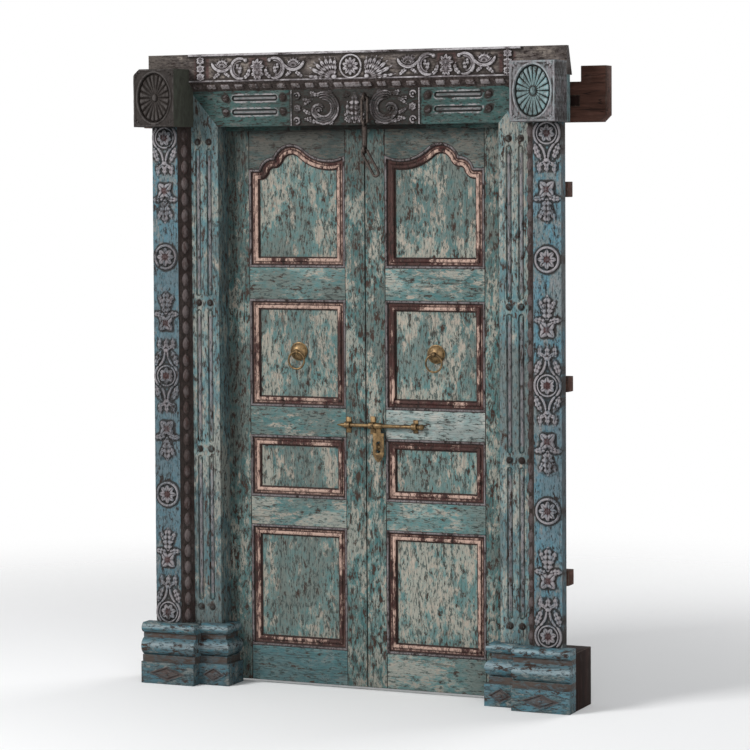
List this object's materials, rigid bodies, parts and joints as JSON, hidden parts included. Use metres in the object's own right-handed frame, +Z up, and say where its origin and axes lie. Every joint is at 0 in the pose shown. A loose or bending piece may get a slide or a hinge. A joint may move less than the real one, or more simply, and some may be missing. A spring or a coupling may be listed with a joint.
{
  "type": "carved double door with frame",
  "caption": "Antique carved teak double-leaf door in its frame, with arched panels, pilasters, rosette corner blocks, moulded bases, ring pulls, sliding bolt and chain.",
  "frame": {"origin": "on the floor, at the middle of the width and of the depth", "axes": "+Z up, +Y from the carved front to the back, +X to the right seen from the front"},
  "size_m": [1.712, 0.274, 2.15],
  "materials": {
    "teal_paint": "worn teal paint over dark teak",
    "pale_paint": "worn pale blue paint over teak",
    "bare_carving": "weathered teak with traces of paint",
    "maroon_paint": "worn maroon paint over teak",
    "dark_wood": "bare dark teak",
    "aged_brass": "aged brass",
    "dark_iron": "dark forged iron"
  },
  "bodies": {
    "frame": {"frieze": "bare_carving", "bead_course": "maroon_paint", "lintel": "teal_paint", "head_beam": "dark_wood", "head_pegs": "dark_wood", "jamb_left": "pale_paint", "jamb_right": "pale_paint", "post_left": "dark_wood", "post_right": "dark_wood", "pilaster_left": "pale_paint", "pilaster_right": "pale_paint", "bead_strip_left": "maroon_paint", "bead_strip_right": "maroon_paint", "corner_block_left": "bare_carving", "corner_block_right": "teal_paint", "plinth_left": "pale_paint", "plinth_right": "pale_paint", "foot_left": "dark_wood", "foot_right": "dark_wood", "pivot_plate_left": "dark_iron", "pivot_plate_right": "dark_iron", "wall_keys": "dark_wood", "chain_staple": "dark_iron"},
    "left_leaf": {"hanging_stile_left": "teal_paint", "meeting_stile_left": "teal_paint", "bottom_rail_left": "teal_paint", "low_rail_left": "teal_paint", "lock_rail_left": "teal_paint", "high_rail_left": "teal_paint", "top_rail_left": "teal_paint", "tall_panel_left": "teal_paint", "small_panel_left": "teal_paint", "square_panel_left": "teal_paint", "arched_panel_left": "teal_paint", "mouldings_left": "maroon_paint", "rose_left": "aged_brass", "bolt_keeper": "aged_brass"},
    "right_leaf": {"hanging_stile_right": "teal_paint", "meeting_stile_right": "teal_paint", "bottom_rail_right": "teal_paint", "low_rail_right": "teal_paint", "lock_rail_right": "teal_paint", "high_rail_right": "teal_paint", "top_rail_right": "teal_paint", "tall_panel_right": "teal_paint", "small_panel_right": "teal_paint", "square_panel_right": "teal_paint", "arched_panel_right": "teal_paint", "mouldings_right": "maroon_paint", "rose_right": "aged_brass", "bolt_guides": "aged_brass", "hasp_staple": "aged_brass"},
    "left_ring": {"ring_left": "aged_brass"},
    "right_ring": {"ring_right": "aged_brass"},
    "bolt": {"bolt_rod": "aged_brass"},
    "hasp": {"hasp": "aged_brass"},
    "chain_link": {"chain_link": "dark_iron"},
    "chain_bar": {"chain_bar": "dark_iron"},
    "chain_loop": {"chain_loop": "dark_iron"}
  },
  "joints": [
    {"name": "left_leaf_hinge", "type": "hinge", "parent": "frame", "child": "left_leaf", "pos_m": [-0.542, 0.0985, 0], "axis": [0, 0, 1], "range_deg": [0, 95]},
    {"name": "right_leaf_hinge", "type": "hinge", "parent": "frame", "child": "right_leaf", "pos_m": [0.542, 0.0985, 0], "axis": [0, 0, -1], "range_deg": [0, 95]},
    {"name": "left_ring_hinge", "type": "hinge", "parent": "left_leaf", "child": "left_ring", "pos_m": [-0.2525, 0.0695, 1.14068], "axis": [-1, 0, 0], "range_deg": [0, 100]},
    {"name": "right_ring_hinge", "type": "hinge", "parent": "right_leaf", "child": "right_ring", "pos_m": [0.2525, 0.0695, 1.14068], "axis": [-1, 0, 0], "range_deg": [0, 100]},
    {"name": "bolt_slide", "type": "slide", "parent": "right_leaf", "child": "bolt", "axis": [1, 0, 0], "range_m": [0, 0.105]},
    {"name": "hasp_hinge", "type": "hinge", "parent": "bolt", "child": "hasp", "pos_m": [0.0515, 0.0665, 0.89775], "axis": [-1, 0, 0], "range_deg": [0, 100]},
    {"name": "chain_link_hinge", "type": "hinge", "parent": "frame", "child": "chain_link", "pos_m": [0.047, -0.0215, 1.99562], "axis": [-1, 0, 0], "range_deg": [0, 80]},
    {"name": "chain_bar_hinge", "type": "hinge", "parent": "chain_link", "child": "chain_bar", "pos_m": [0.047, -0.0215, 1.90962], "axis": [-1, 0, 0], "range_deg": [-10, 60]},
    {"name": "chain_loop_hinge", "type": "hinge", "parent": "chain_bar", "child": "chain_loop", "pos_m": [0.047, -0.0215, 1.82246], "axis": [-1, 0, 0], "range_deg": [-15, 60]}
  ]
}
